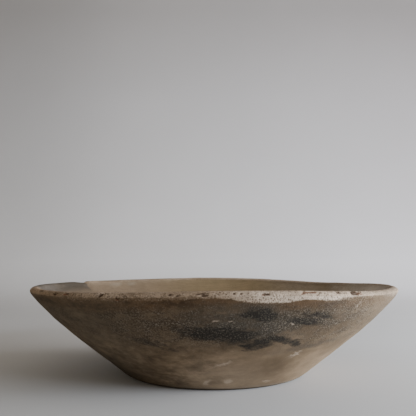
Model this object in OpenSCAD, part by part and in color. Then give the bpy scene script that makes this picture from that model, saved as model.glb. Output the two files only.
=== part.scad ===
// Carved wooden bowl, cut from one block of wood: a flat foot, a wall that flares up
// to a bevelled rim, and a hollow that is a little thicker at the bottom than at the rim.
// Millimetres, +Z up. The origin is the middle of the foot, on the surface the bowl
// stands on. The wood's grain runs along X and the front is towards -Y.

/* [Outside] */
// Mean outside diameter of the rim
rim_d = 360; // [280:1:440]
// Mean height of the rim's crest above the table
bowl_h = 86.5; // [76:0.5:120]
// Diameter of the flat foot
foot_d = 177; // [120:1:220]
// Swell of the wall at half height, as a share of its flare from foot to rim
wall_swell = 0.05; // [0:0.01:0.1]
// How far the swell is drawn up towards the rim, 0 being even
swell_rise = 0.6; // [0:0.1:1]

/* [Rim] */
// Thickness of the rim, outside to inside
rim_t = 10; // [7:0.5:16]
// Mean depth of the bevelled band below the crest
band_h = 7; // [5:0.5:12]
// Height of the rounded crest above the bevelled band
crest_h = 3.5; // [2:0.5:5]
// Strength of the carver's unevenness, 0 being a perfectly turned bowl
unevenness = 1; // [0:0.1:1.5]

/* [Hollow] */
// Thickness of the wall at half height
wall_t = 10; // [8:0.5:16]
// Thickness of the floor at its middle
floor_t = 14; // [10:0.5:20]

/* [Fineness] */
// Facets round the bowl
sectors = 90; // [60:6:120]
// Rings up the outside wall
wall_rings = 9; // [6:1:12]
// Steps over the rounded crest
crest_steps = 6; // [4:1:8]
// Rings down the hollow
hollow_rings = 13; // [8:1:14]

/* [Hidden] */

// Unevenness left by hand work: [waves round the bowl, size in mm, angle of one peak]
HEIGHT_WAVES = [[1, 2.7, 270], [2, 1.2, 105], [4, 0.8, 0], [5, 0.3, 0]];
RADIUS_WAVES = [[1, 2.5, 144], [2, 1.9, -20]];
BAND_WAVES = [[7, 1.4, 285], [15, 0.8, 281]];

foot_r = foot_d / 2;
flare = rim_d / 2 - foot_r;
// The wall's line meets the rim's full radius this far below the crest
corner_depth = 5;
// Wood left below the table's level until the foot is cut flat
foot_waste = 3;
full_turn = 360;
half_turn = 180;
slack = 1;

// The hollow's power curve passes through the wall's middle, one wall thickness in
mid_z = (bowl_h - corner_depth) / 2;
mid_slope = atan2(2 * mid_z, flare * (1 + 2 * wall_swell * swell_rise));
mid_in_r = foot_r + flare * flare_share(0.5) - wall_t * sin(mid_slope);
mid_in_z = mid_z + wall_t * cos(mid_slope);
hollow_rise = bowl_h - crest_h - floor_t;
hollow_power = ln((mid_in_z - floor_t) / hollow_rise) / ln(mid_in_r / (rim_d / 2 - rim_t));

function sum(list, i = 0) = i < len(list) ? list[i] + sum(list, i + 1) : 0;

// Height of a set of waves at angle a
function waves(set, a) = unevenness * sum([for (w = set) w[1] * cos(w[0] * (a - w[2]))]);

function crest_z(a) = bowl_h + waves(HEIGHT_WAVES, a);
function rim_r(a) = rim_d / 2 + waves(RADIUS_WAVES, a);
function band_z(a) = crest_z(a) - band_h - waves(BAND_WAVES, a);

// Share of the flare that the wall has reached at share u of its height
function flare_share(u) = u + 4 * wall_swell * u * (1 - u) * (1 + swell_rise * (2 * u - 1));

function wall_r(a, z) = foot_r + (rim_r(a) - foot_r) * flare_share(z / (crest_z(a) - corner_depth));

// Outside of the bowl at angle a, from below the foot up to the bevel's lower edge
function outer_wall(a) = [
    for (i = [0 : wall_rings])
        let (z = -foot_waste + (band_z(a) + foot_waste) * i / wall_rings)
            [wall_r(a, z), z]
];

// Rounded crest, from the bevel's upper edge over to the hollow
function crest(a) = [
    for (i = [0 : crest_steps])
        let (turn = half_turn * i / crest_steps)
            [rim_r(a) - rim_t / 2 * (1 - cos(turn)), crest_z(a) - crest_h * (1 - sin(turn))]
];

// Inside of the bowl, from just below the crest to the ring round the floor's middle
function hollow(a) = [
    for (i = [1 : hollow_rings - 1])
        let (s = 1 - i / hollow_rings)
            [(rim_r(a) - rim_t) * s, floor_t + (crest_z(a) - crest_h - floor_t) * pow(s, hollow_power)]
];

function section(a) = concat(outer_wall(a), crest(a), hollow(a));

// The whole bowl as one closed skin, with its foot not cut flat yet
module carved_body() {
    rings = len(section(0));
    skin = [
        for (j = [0 : sectors - 1])
            let (a = full_turn * j / sectors)
                for (p = section(a)) [p[0] * cos(a), p[0] * sin(a), p[1]]
    ];
    floor_mid = sectors * rings;
    foot_mid = floor_mid + 1;
    sides = [
        for (j = [0 : sectors - 1])
            let (k = (j + 1) % sectors)
                for (i = [0 : rings - 2])
                    for (face = [
                        [j * rings + i, j * rings + i + 1, k * rings + i + 1],
                        [j * rings + i, k * rings + i + 1, k * rings + i]
                    ]) face
    ];
    caps = [
        for (j = [0 : sectors - 1])
            let (k = (j + 1) % sectors)
                for (face = [
                    [j * rings + rings - 1, floor_mid, k * rings + rings - 1],
                    [j * rings, k * rings, foot_mid]
                ]) face
    ];
    polyhedron(
        points = concat(skin, [[0, 0, floor_t], [0, 0, -foot_waste]]),
        faces = concat(sides, caps)
    );
}

// The bowl stands on one flat, hand-planed face
module bowl() {
    color("peru")
    difference() {
        carved_body();
        translate([-rim_d, -rim_d, -foot_waste - slack])
            cube([2 * rim_d, 2 * rim_d, foot_waste + slack]);
    }
}

bowl();
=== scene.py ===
"""A worn, hand-carved wooden bowl standing in a plain, softly lit studio.

The bowl is one piece of wood, so it is one mesh: foot, wall, bevelled band, crest and hollow
are rings of a single closed skin. Its form comes from the CAD frame's box, and the carver's
tool marks, the chipped rim and the wear are cut into that skin in millimetres. The finish is
built from shader nodes in layers, in the order that a real bowl gathers them: wood, old dirt,
smoke, dust, rubbing and damage.

The wood's grain runs along X, the front is towards -Y and Z is up.

Some light and shade is painted into the colours as well: a highlight along the crest, a band
and hollow tip paler on the right partly from painted light, shade low on the left of the wall
and under the foot, and the light's falloff on the floor and backdrop.
"""

import functools
import logging
import math
import random
from dataclasses import dataclass, field
from enum import Enum
from typing import Any, Callable, Iterable, Optional, Sequence, Union

import bpy
import numpy as np
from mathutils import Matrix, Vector, noise


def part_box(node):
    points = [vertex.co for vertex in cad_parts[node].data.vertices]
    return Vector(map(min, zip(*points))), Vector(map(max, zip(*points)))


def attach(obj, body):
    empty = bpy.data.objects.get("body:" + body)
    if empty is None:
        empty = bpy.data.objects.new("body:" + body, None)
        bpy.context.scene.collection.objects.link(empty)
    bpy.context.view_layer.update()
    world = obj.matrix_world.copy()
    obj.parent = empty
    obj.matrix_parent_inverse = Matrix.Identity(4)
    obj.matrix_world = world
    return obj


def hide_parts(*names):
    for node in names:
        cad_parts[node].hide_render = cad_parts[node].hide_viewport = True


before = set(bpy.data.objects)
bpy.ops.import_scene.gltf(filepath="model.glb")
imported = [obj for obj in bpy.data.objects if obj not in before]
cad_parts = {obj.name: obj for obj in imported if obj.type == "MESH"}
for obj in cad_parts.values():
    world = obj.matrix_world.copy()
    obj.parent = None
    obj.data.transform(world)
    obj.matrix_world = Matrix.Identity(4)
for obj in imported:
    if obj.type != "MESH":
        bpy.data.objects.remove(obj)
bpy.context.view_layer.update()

log = logging.getLogger("carved_bowl")

MM = 0.001

Colour = tuple[float, float, float]
Span = tuple[float, float]
Number = Union[float, "Value"]
Sockets = dict[Union[int, str], Any]


# ---------------------------------------------------------------------------------------
# Shader arithmetic
# ---------------------------------------------------------------------------------------


class Value:
    """A shader socket that can be used in ordinary arithmetic; each operation adds a node."""

    def __init__(self, graph: "Graph", socket: bpy.types.NodeSocket) -> None:
        """Wrap one output socket of a graph."""
        self.graph = graph
        self.socket = socket

    def _math(self, operation: str, *terms: Number) -> "Value":
        """Add one Math node for an operation on numbers and sockets."""
        return self.graph.node("ShaderNodeMath", {"operation": operation}, dict(enumerate(terms)))

    def __add__(self, other: Number) -> "Value":
        """Return self + other."""
        return self._math("ADD", self, other)

    __radd__ = __add__

    def __sub__(self, other: Number) -> "Value":
        """Return self - other."""
        return self._math("SUBTRACT", self, other)

    def __rsub__(self, other: Number) -> "Value":
        """Return other - self."""
        return self._math("SUBTRACT", other, self)

    def __mul__(self, other: Number) -> "Value":
        """Return self * other."""
        return self._math("MULTIPLY", self, other)

    __rmul__ = __mul__

    def __truediv__(self, other: Number) -> "Value":
        """Return self / other."""
        return self._math("DIVIDE", self, other)

    def __rtruediv__(self, other: Number) -> "Value":
        """Return other / self."""
        return self._math("DIVIDE", other, self)

    def __pow__(self, power: Number) -> "Value":
        """Return self ** power."""
        return self._math("POWER", self, power)

    def __rpow__(self, base: Number) -> "Value":
        """Return base ** self."""
        return self._math("POWER", base, self)

    def __neg__(self) -> "Value":
        """Return -self."""
        return self._math("MULTIPLY", self, -1.0)

    def most(self, other: Number) -> "Value":
        """Return the larger of self and other."""
        return self._math("MAXIMUM", self, other)

    def least(self, other: Number) -> "Value":
        """Return the smaller of self and other."""
        return self._math("MINIMUM", self, other)

    def between(self, low: float, high: float) -> "Value":
        """Return an even S-shaped rise from 0 at low to 1 at high, which falls if low is above high."""
        sockets: Sockets = {"Value": self, "From Min": low, "From Max": high}
        return self.graph.node("ShaderNodeMapRange", {"interpolation_type": "SMOOTHSTEP"}, sockets)


class Graph:
    """The node tree of one material, with short ways to add the nodes that finishes use."""

    def __init__(self, name: str) -> None:
        """Make a material with an empty node tree.

        Args:
            name: The material's name.
        """
        self.material = bpy.data.materials.new(name)
        self.material.use_nodes = True
        self.tree = self.material.node_tree
        self.tree.nodes.clear()

    def add(self, kind: str, settings: dict[str, Any], inputs: Sockets) -> bpy.types.Node:
        """Add one node of any kind.

        Args:
            kind: Blender's name for the node type.
            settings: The node's own settings, set before its sockets.
            inputs: Socket name or number mapped to a value, or to a Value to link.

        Returns:
            The node.
        """
        made = self.tree.nodes.new(kind)
        for name, setting in settings.items():
            setattr(made, name, setting)
        for key, value in inputs.items():
            if isinstance(value, Value):
                self.tree.links.new(value.socket, made.inputs[key])
            else:
                made.inputs[key].default_value = value
        return made

    def node(
        self,
        kind: str,
        settings: Optional[dict[str, Any]] = None,
        inputs: Optional[Sockets] = None,
        output: Union[int, str] = 0,
    ) -> Value:
        """Add one node of any kind and return one of its outputs, chosen by name or number."""
        return Value(self, self.add(kind, settings or {}, inputs or {}).outputs[output])

    def vector_math(self, operation: str, *terms: Any, output: str = "Vector") -> Value:
        """Add one Vector Math node for an operation on vectors, colours and sockets."""
        return self.node("ShaderNodeVectorMath", {"operation": operation}, dict(enumerate(terms)), output)

    def place(self) -> Value:
        """Return the place on the object as a vector in millimetres."""
        return self.scaled(self.node("ShaderNodeTexCoord", output="Object"), (1 / MM,) * 3)

    def scaled(self, vector: Value, factors: Sequence[float]) -> Value:
        """Return a vector with each of its parts multiplied by its own factor."""
        return self.vector_math("MULTIPLY", vector, tuple(factors))

    def parts(self, vector: Value) -> tuple[Value, ...]:
        """Return the X, Y and Z of a vector."""
        split = self.add("ShaderNodeSeparateXYZ", {}, {0: vector})
        return tuple(Value(self, part) for part in split.outputs)

    def measured(self, name: str) -> Value:
        """Return a number that the mesh carries at each point."""
        return self.node("ShaderNodeAttribute", {"attribute_name": name}, output="Fac")

    def cloud(self, vector: Value, grain: float, detail: float, rough: float, output: str = "Fac") -> Value:
        """Return soft noise with features of grain millimetres and some finer, rougher detail."""
        sockets: Sockets = {"Vector": vector, "Scale": 1.0 / grain, "Detail": detail, "Roughness": rough}
        return self.node("ShaderNodeTexNoise", {}, sockets, output)

    def dots(self, vector: Value, spacing: float) -> Value:
        """Return the distance to the nearest of many scattered dots, in dot spacings."""
        sockets: Sockets = {"Vector": vector, "Scale": 1.0 / spacing}
        return self.node("ShaderNodeTexVoronoi", {"feature": "F1"}, sockets, "Distance")

    def mixed(self, share: Number, below: Union[Value, Colour], above: Union[Value, Colour]) -> Value:
        """Lay one colour over another.

        Args:
            share: How much of the upper colour shows, from 0 to 1.
            below: The colour underneath.
            above: The colour on top.

        Returns:
            The mixed colour.
        """
        lower, upper = (tone if isinstance(tone, Value) else (*tone, 1.0) for tone in (below, above))
        settings = {"data_type": "RGBA", "clamp_factor": True}
        return self.node("ShaderNodeMix", settings, {0: share, 6: lower, 7: upper}, 2)

    def shaded(self, colour: Value, amount: Number) -> Value:
        """Return a colour multiplied by a number, keeping its hue."""
        grey = self.node("ShaderNodeCombineXYZ", {}, {0: amount, 1: amount, 2: amount})
        return self.vector_math("MULTIPLY", colour, grey)

    def bumped(self, height: Value, depth: float, under: Optional[Value] = None) -> Value:
        """Raise the surface by a height.

        Args:
            height: The height, from 0 to 1.
            depth: What a height of 1 is worth, in millimetres.
            under: A normal to add the relief to.

        Returns:
            The surface normal.
        """
        sockets: Sockets = {"Height": height, "Distance": depth * MM}
        if under is not None:
            sockets["Normal"] = under
        return self.node("ShaderNodeBump", {}, sockets)

    def finish(
        self, colour: Value, rough: Number, normal: Optional[Value], specular: float
    ) -> bpy.types.Material:
        """Close the graph with the surface shader and the material's output.

        Args:
            colour: The base colour.
            rough: The roughness.
            normal: The surface normal, or None for the mesh's own.
            specular: The strength of the shine, the same all over.

        Returns:
            The finished material.
        """
        sockets: Sockets = {"Base Color": colour, "Roughness": rough, "Specular IOR Level": specular}
        if normal is not None:
            sockets["Normal"] = normal
        shader = self.node("ShaderNodeBsdfPrincipled", {}, sockets)
        self.add("ShaderNodeOutputMaterial", {}, {"Surface": shader})
        return self.material


# ---------------------------------------------------------------------------------------
# The bowl's form
# ---------------------------------------------------------------------------------------


# Points in each ring of the skin, which halve where it gets coarser
FINE, MIDDLE, COARSE = 640, 320, 160
# In degrees: a turn, half a turn, and the angle from +X to the bowl's front
FULL_TURN, HALF_TURN, FRONT = 360.0, 180.0, 270.0


class Zone(Enum):
    """The parts of the bowl's skin, in the order that a section passes through them."""

    FOOT = 0
    EDGE = 1
    WALL = 2
    BAND = 3
    CREST = 4
    HOLLOW = 5


class Layer(Enum):
    """The numbers that the mesh carries at each point for the finish to read."""

    ABOVE = "above"
    INNER = "inner"
    INWARD = "inward"
    HURT = "hurt"


@dataclass(frozen=True)
class Wave:
    """One swell round the bowl.

    Attributes:
        count: How many times it rises round the bowl.
        size: Its height in millimetres.
        peak: The angle of one of its tops, in degrees from +X.
    """

    count: int
    size: float
    peak: float

    def at(self, turn: np.ndarray) -> np.ndarray:
        """Return the swell in millimetres at each angle, given in radians."""
        return self.size * np.cos(self.count * (turn - math.radians(self.peak)))


def swell(waves: Iterable[Wave], turn: np.ndarray) -> np.ndarray:
    """Return the sum of several waves at each angle, given in radians."""
    return sum((wave.at(turn) for wave in waves), np.zeros_like(turn))


def eased(value: np.ndarray, low: float, high: float) -> np.ndarray:
    """Return 0 where value is at low, 1 where it is at high, and an S-shaped rise between."""
    share = np.clip((value - low) / (high - low), 0.0, 1.0)
    return share * share * (3.0 - 2.0 * share)


@dataclass(frozen=True)
class Notch:
    """A step in the rim where the carver's cut ran out.

    Attributes:
        angle: Where the step is, in degrees from +X.
        reach: How many degrees the rim takes to sink towards it.
        depth: How deep it is, in millimetres.
        step: How many degrees the step itself takes.
        fading: How quickly it fades out down the hollow.
    """

    angle: float
    reach: float
    depth: float
    step: float = 1.2
    fading: float = 20.0

    def at(self, turn: np.ndarray) -> np.ndarray:
        """Return how far the rim is lowered at each angle, given in radians."""
        away = np.degrees(turn) % FULL_TURN - self.angle
        return self.depth * (1.0 - eased(away, 0.0, self.reach)) * eased(away, -self.step, 0.0)


@dataclass
class BowlForm:
    """The smooth form under the tool marks. Lengths are in millimetres.

    Attributes:
        rim_r: Mean outside radius of the rim.
        crest_z: Mean height of the crest.
        foot_r: Radius of the foot.
        foot_share: That radius as a share of the rim's.
        rim_t: Thickness of the rim.
        band_h: Mean depth of the bevelled band below the crest.
        crest_h: Height of the rounded crest above the band.
        corner_depth: How far below the crest the wall's line meets the rim's full radius.
        floor_t: Thickness of the floor at its middle.
        wall_t: Thickness of the wall at half height.
        wall_swell: Swell of the wall at half height, as a share of its flare.
        swell_rise: How far the swell is drawn up towards the rim, 0 being even.
        edge_round: Radius of the foot's rounded edge.
        height_waves: Rise and fall of the crest.
        radius_waves: Unevenness of the rim's radius.
        band_waves: Waves of the band's lower edge.
        notch: The step in the rim.
    """

    rim_r: float = field(init=False)
    crest_z: float = field(init=False)
    foot_r: float = field(init=False)
    foot_share: float = 0.4917
    rim_t: float = 10.0
    band_h: float = 7.0
    crest_h: float = 3.5
    corner_depth: float = 5.0
    floor_t: float = 14.0
    wall_t: float = 10.0
    wall_swell: float = 0.05
    swell_rise: float = 0.6
    edge_round: float = 3.2
    height_waves: tuple[Wave, ...] = (
        Wave(1, 2.7, 270),
        Wave(2, 1.2, 105),
        Wave(4, 0.8, 0),
        Wave(5, 0.3, 0),
    )
    radius_waves: tuple[Wave, ...] = (Wave(1, 2.5, 144), Wave(2, 1.9, -20))
    band_waves: tuple[Wave, ...] = (Wave(7, 1.4, 285), Wave(15, 0.8, 281), Wave(31, 0.3, 276))
    notch: Notch = Notch(149.0, 9.0, 1.6)

    def __post_init__(self) -> None:
        """Work the driving sizes out from the CAD frame's box."""
        low, high = (Vector(corner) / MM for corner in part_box("bowl"))
        turns = np.linspace(0.0, math.tau, 2 * int(FULL_TURN) + 1)
        self.rim_r = ((high.x - low.x) + (high.y - low.y)) / 4.0
        self.crest_z = high.z - float(swell(self.height_waves, turns).max())
        self.foot_r = self.rim_r * self.foot_share

    def crest(self, turn: np.ndarray) -> np.ndarray:
        """Return the height of the rim's crest at each angle, without its notch."""
        return self.crest_z + swell(self.height_waves, turn)

    def rim(self, turn: np.ndarray) -> np.ndarray:
        """Return the rim's outside radius at each angle."""
        return self.rim_r + swell(self.radius_waves, turn)

    def crease(self, turn: np.ndarray) -> np.ndarray:
        """Return the height of the bevelled band's lower edge at each angle."""
        return self.crest(turn) - self.band_h - swell(self.band_waves, turn)

    def flare(self, share: np.ndarray) -> np.ndarray:
        """Return how much of its flare the wall has reached at a share of its height."""
        lean = 1.0 + self.swell_rise * (2.0 * share - 1.0)
        return share + 4.0 * self.wall_swell * share * (1.0 - share) * lean

    def wall(self, turn: np.ndarray, z: np.ndarray) -> np.ndarray:
        """Return the wall's outside radius at each angle and height."""
        corner = self.crest(turn) - self.corner_depth
        return self.foot_r + (self.rim(turn) - self.foot_r) * self.flare(z / corner)

    @property
    def hollow_power(self) -> float:
        """The power of the hollow's curve.

        Returns:
            The power that leaves one wall thickness at half height.
        """
        mid_z = (self.crest_z - self.corner_depth) / 2.0
        flare = self.rim_r - self.foot_r
        slope = math.atan2(2.0 * mid_z, flare * (1.0 + 2.0 * self.wall_swell * self.swell_rise))
        mid_r = self.foot_r + flare * float(self.flare(np.array(0.5)))
        rise = self.crest_z - self.crest_h - self.floor_t
        height = mid_z + self.wall_t * math.cos(slope) - self.floor_t
        reach = (mid_r - self.wall_t * math.sin(slope)) / (self.rim_r - self.rim_t)
        return math.log(height / rise) / math.log(reach)

    def section(self, zone: Zone, share: float, turn: np.ndarray) -> tuple[np.ndarray, np.ndarray]:
        """Return one ring of the skin.

        Args:
            zone: The part of the skin.
            share: How far the ring is through that part, from 0 to 1.
            turn: The ring's angles in radians.

        Returns:
            The ring's radius and height at each angle, in millimetres.
        """
        rim, crest = self.rim(turn), self.crest(turn)
        crest_base = crest - self.crest_h
        cut = self.notch.at(turn)
        if zone is Zone.FOOT:
            radius = (self.foot_r - self.edge_round) * share
            return radius + 0.0 * turn, 0.0 * turn
        if zone is Zone.EDGE:
            quarter = share * math.pi / 2.0
            height = self.edge_round * (1.0 - math.cos(quarter)) + 0.0 * turn
            inset = self.edge_round * (1.0 - math.sin(quarter))
            return self.wall(turn, height) - inset, height
        if zone is Zone.WALL:
            height = self.edge_round + (self.crease(turn) - self.edge_round) * share
            return self.wall(turn, height), height
        if zone is Zone.BAND:
            low, low_r = self.crease(turn), self.wall(turn, self.crease(turn))
            return low_r + (rim - low_r) * share, low + (crest_base - low) * share - cut * share
        if zone is Zone.CREST:
            half = share * math.pi
            radius = rim - self.rim_t / 2.0 * (1.0 - math.cos(half))
            return radius, crest_base + self.crest_h * math.sin(half) - cut
        inward = 1.0 - share
        height = self.floor_t + (crest_base - self.floor_t) * inward**self.hollow_power
        return (rim - self.rim_t) * inward, height - cut * inward**self.notch.fading


# ---------------------------------------------------------------------------------------
# Tool marks and damage
# ---------------------------------------------------------------------------------------


class Harm(Enum):
    """The kinds of damage on the rim."""

    CHIP = "a flake broken out, its bottom dark with old dirt"
    PIT = "a small hole"
    SCORE = "a shallow scratch that follows the rim"


@dataclass(frozen=True)
class Damage:
    """One place where the rim is damaged.

    Attributes:
        kind: What sort of damage it is.
        angle: Where it is, in degrees to the right of the front.
        drop: How far below the crest it is, in millimetres; negative is on the inside.
        along: Its length along the rim, in millimetres.
        tall: Its height, in millimetres.
        deep: Its depth, in millimetres.
    """

    kind: Harm
    angle: float
    drop: float
    along: float
    tall: float
    deep: float


def known_damage() -> tuple[Damage, ...]:
    """List the larger chips, pits and scores of the front of the rim.

    Returns:
        The damage, from left to right.
    """
    return (
        Damage(Harm.SCORE, -58, 0.5, 14, 1.2, 0.5),
        Damage(Harm.PIT, -48, 2.0, 6, 1.6, 0.8),
        Damage(Harm.CHIP, -43, 1.0, 7, 2.8, 1.6),
        Damage(Harm.CHIP, -30, 1.2, 5, 3.6, 1.8),
        Damage(Harm.SCORE, -25, 4.0, 2, 7.0, 0.5),
        Damage(Harm.PIT, -11.5, 2.0, 4, 2.0, 1.0),
        Damage(Harm.PIT, -9.5, 2.8, 4, 2.0, 1.0),
        Damage(Harm.SCORE, -4, 1.6, 14, 1.0, 0.6),
        Damage(Harm.PIT, -3, 3.0, 5, 1.6, 0.8),
        Damage(Harm.PIT, 4, 1.6, 3, 1.4, 0.8),
        Damage(Harm.PIT, 5.5, 1.6, 2.6, 1.4, 0.8),
        Damage(Harm.CHIP, 11.7, 2.3, 8, 3.0, 1.3),
        Damage(Harm.PIT, 21, 1.8, 2.4, 1.6, 1.0),
        Damage(Harm.SCORE, 23, 0.9, 20, 1.4, 0.4),
        Damage(Harm.SCORE, 32, 0.8, 9, 1.6, 0.8),
        Damage(Harm.CHIP, 38.0, 1.5, 14, 3.6, 1.6),
        Damage(Harm.SCORE, 40.5, -0.6, 11, 1.4, 0.7),
    )


@dataclass(frozen=True)
class Scatter:
    """Random small damage of the sides and back of the rim. Lengths are in millimetres.

    Attributes:
        count: How many places are damaged.
        seed: Seed of the random numbers.
        arc: Where the damage starts and ends, in degrees to the right of the front.
        along: Least and greatest length along the rim.
        tall: Least and greatest height.
        drop: Least and greatest drop below the crest.
        deep: Least and greatest depth.
        score_shape: How much longer and lower than that the scores are.
    """

    count: int = 18
    seed: int = 5
    arc: Span = (62.0, 298.0)
    along: Span = (3.0, 8.0)
    tall: Span = (1.4, 3.2)
    drop: Span = (1.8, 5.5)
    deep: Span = (0.5, 1.4)
    score_shape: Span = (1.6, 0.5)

    def places(self) -> tuple[Damage, ...]:
        """Draw the places of damage.

        Returns:
            The damage, in order of angle.
        """
        draw = random.Random(self.seed)
        kinds = (Harm.PIT, Harm.SCORE, Harm.CHIP)
        start, end = self.arc
        made = []
        for index in range(self.count):
            angle = start + (end - start) * (index + draw.random()) / self.count
            kind = kinds[index % len(kinds)]
            longer, lower = self.score_shape if kind is Harm.SCORE else (1.0, 1.0)
            along = draw.uniform(*self.along) * longer
            tall = draw.uniform(*self.tall) * lower
            drop = draw.uniform(*self.drop)
            made.append(Damage(kind, angle, drop, along, tall, draw.uniform(*self.deep)))
        return tuple(made)


def sampled(function: Callable[[Sequence[float]], float], points: np.ndarray) -> np.ndarray:
    """Return a noise function's value at each point."""
    return np.fromiter((function(point) for point in points.tolist()), float, len(points))


@dataclass(frozen=True)
class Carving:
    """The relief that tools and use leave on the smooth form. Lengths are in millimetres.

    Attributes:
        lump: Height of the slow unevenness left by hand work.
        lump_span: Its span.
        lump_layers: How much weaker and finer each layer of it is, and how many there are.
        scoop: Depth of the tool's scoops on the wall, band and hollow.
        scoop_span: Length and height of one scoop.
        scoop_rest: How far from a scoop's middle, in scoops, the skin stays where it is.
        hollow_scoop: The hollow's share of the scoops' depth.
        crest_share: The crest's share of the lumps and scoops.
        foot_fade: The height over which lumps and scoops fade out towards the foot.
        foot_dish: How far the middle of the foot is cut back.
        dish_edge: Between which shares of the foot's radius that ends.
        frayed: How strongly noise frays the outlines of damage.
        frayed_grain: Size of that noise's features.
        torn_edge: Where the side of a break starts and ends, in halves of its size.
        torn_reach: How far from its middle a break can reach, in halves of its size.
        score_dirt: How damaged the bottom of a score looks, a chip's being 1.
        crease_rings: How many rings below and above the crease wear can move.
        crease_passes: How many times they are evened out.
        crease_rate: How far each pass moves them towards even.
        crease_wear: The wear of the crease: all round, more on the left, more on the right.
        worn_left: Between which X the left's wear sets in.
        worn_right: Between which X the right's wear sets in.
        seed: Offset of the noise, so that another seed gives another bowl.
    """

    lump: float = 0.5
    lump_span: float = 46.0
    lump_layers: tuple[float, float, int] = (1.0, 2.0, 3)
    scoop: float = 0.45
    scoop_span: Span = (26.0, 12.0)
    scoop_rest: float = 0.45
    hollow_scoop: float = 0.55
    crest_share: float = 0.6
    foot_fade: float = 6.0
    foot_dish: float = 0.9
    dish_edge: Span = (0.55, 0.97)
    frayed: float = 0.75
    frayed_grain: float = 2.6
    torn_edge: Span = (0.5, 1.2)
    torn_reach: float = 2.0
    score_dirt: float = 0.7
    crease_rings: tuple[int, int] = (9, 7)
    crease_passes: int = 24
    crease_rate: float = 0.6
    crease_wear: tuple[float, float, float] = (0.25, 0.75, 0.5)
    worn_left: Span = (-40.0, -110.0)
    worn_right: Span = (90.0, 130.0)
    seed: int = 11

    def lumps(self, points: np.ndarray) -> np.ndarray:
        """Return the slow unevenness at each point."""
        spots = points / self.lump_span + self.seed
        return self.lump * sampled(lambda spot: noise.fractal(spot, *self.lump_layers), spots)

    def scoops(self, points: np.ndarray) -> np.ndarray:
        """Work out the tool's scoops, hollow in their middles and with low ridges between them.

        Args:
            points: The points.

        Returns:
            How far outwards each point is moved.
        """
        long, high = self.scoop_span
        spots = points / np.array((long, long, high)) + self.seed
        near = sampled(lambda spot: noise.voronoi(spot, exponent=2.0)[0][0], spots)
        return self.scoop * (near - self.scoop_rest)

    def damage(
        self, hurt: Damage, turn: np.ndarray, drop: np.ndarray, rim_r: float, points: np.ndarray
    ) -> np.ndarray:
        """Work out how deeply one place of damage cuts in.

        Args:
            hurt: The place of damage.
            turn: The points' angles in radians from +X.
            drop: How far the points lie below the crest, negative inside.
            rim_r: The rim's radius.
            points: The points themselves, for a ragged outline.

        Returns:
            The cut at each point, from 0 to 1.
        """
        off = (np.degrees(turn) - FRONT - hurt.angle + HALF_TURN) % FULL_TURN - HALF_TURN
        along = np.radians(off) * rim_r / (hurt.along / 2.0)
        tall = (drop - hurt.drop) / (hurt.tall / 2.0)
        away = np.sqrt(along**2 + tall**2)
        close = away < self.torn_reach
        ragged = np.zeros_like(away)
        ragged[close] = sampled(noise.noise, points[close] / self.frayed_grain)
        return np.where(close, 1.0 - eased(away + self.frayed * ragged, *self.torn_edge), 0.0)

    def soften_crease(self, points: np.ndarray, first: int) -> None:
        """Round off the bevel's lower edge in place, most where wear has nearly blended it away.

        Args:
            points: The skin's points.
            first: The first point of the ring on the crease.
        """
        below, above = self.crease_rings
        rings = points[first - below * FINE : first + above * FINE].reshape(-1, FINE, 3)
        x = rings[0, :, 0]
        all_round, left, right = self.crease_wear
        worn = all_round + left * eased(x, *self.worn_left) + right * eased(x, *self.worn_right)
        for _ in range(self.crease_passes):
            mean = (rings[:-2] + rings[2:]) / 2.0
            rings[1:-1] += (mean - rings[1:-1]) * self.crease_rate * np.minimum(worn, 1.0)[None, :, None]


# ---------------------------------------------------------------------------------------
# Finishes
# ---------------------------------------------------------------------------------------


@dataclass(frozen=True)
class Smudge:
    """A soft-edged mark on the bowl. Lengths are in millimetres.

    Attributes:
        x: How far right of the middle it is.
        z: How high above the table it is.
        long: Half of its length.
        high: Half of its height.
        tilt: How many degrees it climbs to the right.
        strength: How strongly it shows, from 0 to 1.
        y: How far behind the middle it is.
        deep: How far it reaches in front of and behind that place.
    """

    x: float
    z: float
    long: float
    high: float
    tilt: float
    strength: float
    y: float = -140.0
    deep: float = 120.0


# The middle tones of soft noise, which are stretched to run from 0 to 1
MID_TONES: Span = (0.36, 0.64)
WIDE_TONES: Span = (0.35, 0.65)
# How a mark fades, from outside to inside, in halves of its size
MARK_FADE: Span = (1.5, 0.3)
# How steeply the crossing scratches climb, in degrees
SCRATCH_CLIMBS = (-38.0, 24.0)


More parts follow.
